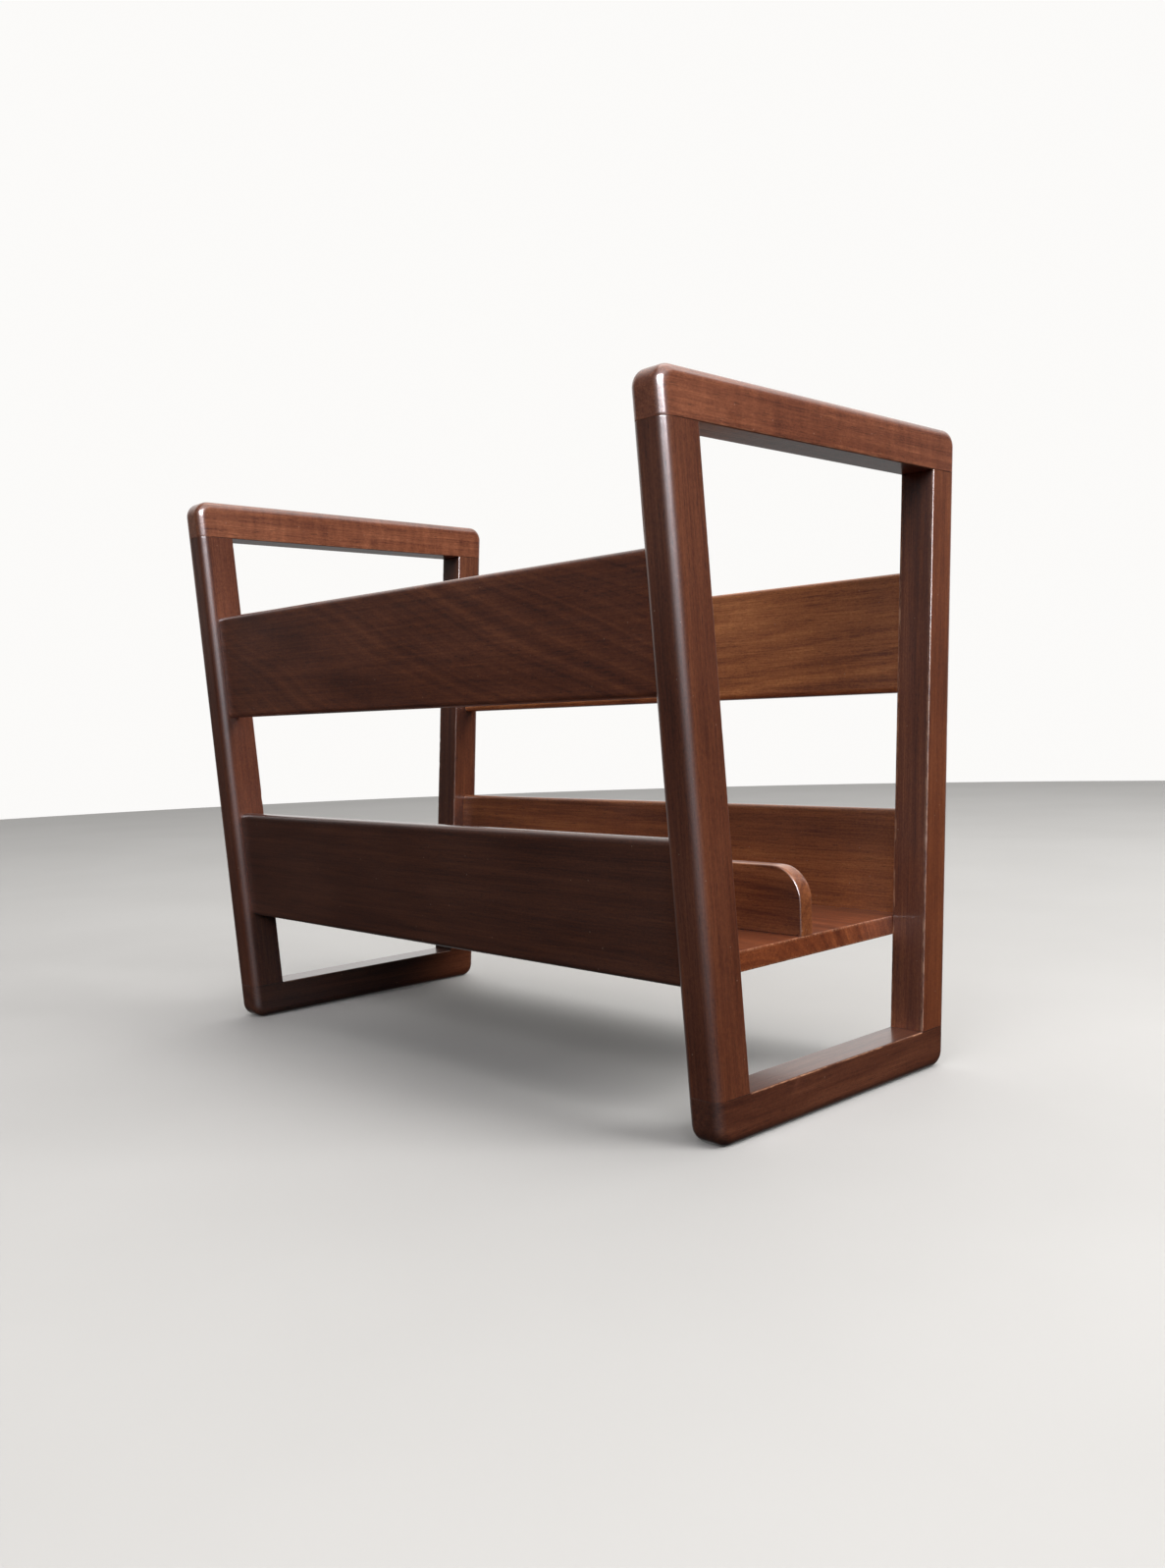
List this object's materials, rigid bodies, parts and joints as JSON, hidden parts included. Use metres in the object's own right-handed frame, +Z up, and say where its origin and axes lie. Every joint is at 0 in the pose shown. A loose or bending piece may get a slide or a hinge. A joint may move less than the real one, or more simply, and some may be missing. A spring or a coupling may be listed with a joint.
{
  "type": "magazine rack",
  "caption": "Low open wooden rack that holds magazines upright in two bays between slatted sides, under flared end frames that double as handles.",
  "frame": {"origin": "on the floor under the middle of the rack", "axes": "+X along the slats to the right end frame, +Y across the rack to its back, +Z up"},
  "size_m": [0.478, 0.265, 0.385],
  "materials": {
    "frame_hardwood": "satin gloss varnish",
    "slat_hardwood": "satin gloss varnish",
    "shelf_hardwood": "satin gloss varnish",
    "dowel_beech": "bare",
    "screw_steel": "dull zinc"
  },
  "bodies": {
    "root": {"left_top_rail": "frame_hardwood", "left_bottom_rail": "frame_hardwood", "left_front_post": "frame_hardwood", "left_back_post": "frame_hardwood", "right_top_rail": "frame_hardwood", "right_bottom_rail": "frame_hardwood", "right_front_post": "frame_hardwood", "right_back_post": "frame_hardwood", "front_upper_slat": "slat_hardwood", "front_lower_slat": "slat_hardwood", "back_upper_slat": "slat_hardwood", "back_lower_slat": "slat_hardwood", "bottom_shelf": "shelf_hardwood", "centre_divider": "shelf_hardwood", "left_top_corner_dowels": "dowel_beech", "left_bottom_corner_dowels": "dowel_beech", "right_top_corner_dowels": "dowel_beech", "right_bottom_corner_dowels": "dowel_beech", "front_upper_slat_dowels": "dowel_beech", "front_lower_slat_dowels": "dowel_beech", "back_upper_slat_dowels": "dowel_beech", "back_lower_slat_dowels": "dowel_beech", "front_shelf_dowels": "dowel_beech", "back_shelf_dowels": "dowel_beech", "divider_screws": "screw_steel"}
  },
  "joints": []
}
